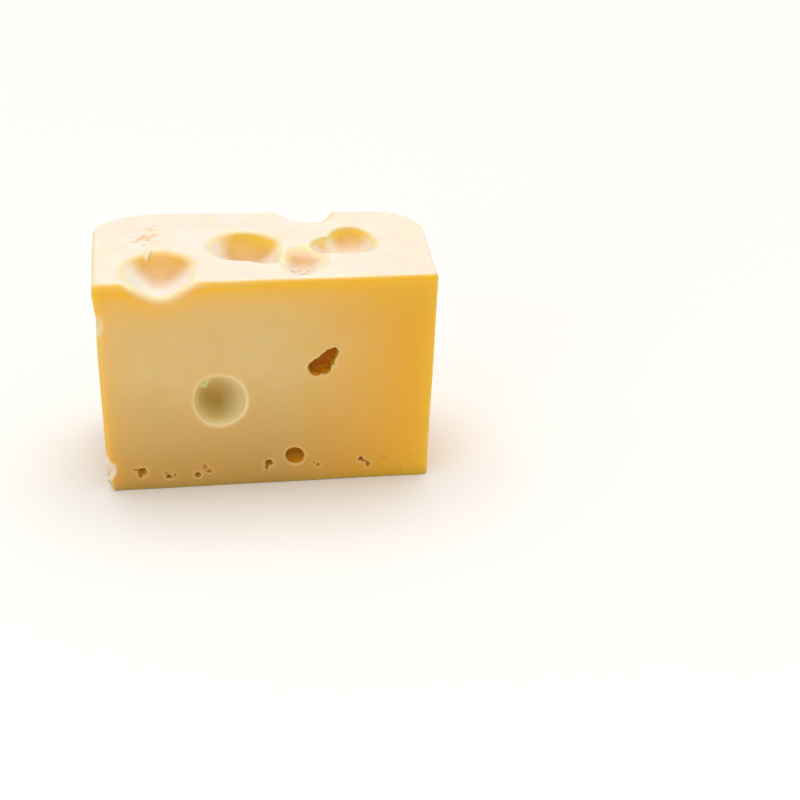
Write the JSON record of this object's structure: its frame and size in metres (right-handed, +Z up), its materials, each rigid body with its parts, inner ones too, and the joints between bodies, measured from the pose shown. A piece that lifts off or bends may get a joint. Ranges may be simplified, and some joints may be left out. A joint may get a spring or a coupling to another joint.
{
  "type": "cheese block",
  "caption": "Straight-cut block of pale, large-eyed cheese with open round bowls on its top and sides, a row of small holes above the base and one torn slit.",
  "frame": {"origin": "middle of the flat base", "axes": "+Z up, +X to the right along the broad front face that the picture shows, +Y from that face towards the back"},
  "size_m": [0.1406, 0.0808, 0.0931],
  "materials": {
    "cheese": "pale yellow cheese, translucent, with a faint moist sheen"
  },
  "bodies": {
    "root": {"cheese_block": "cheese"}
  },
  "joints": []
}
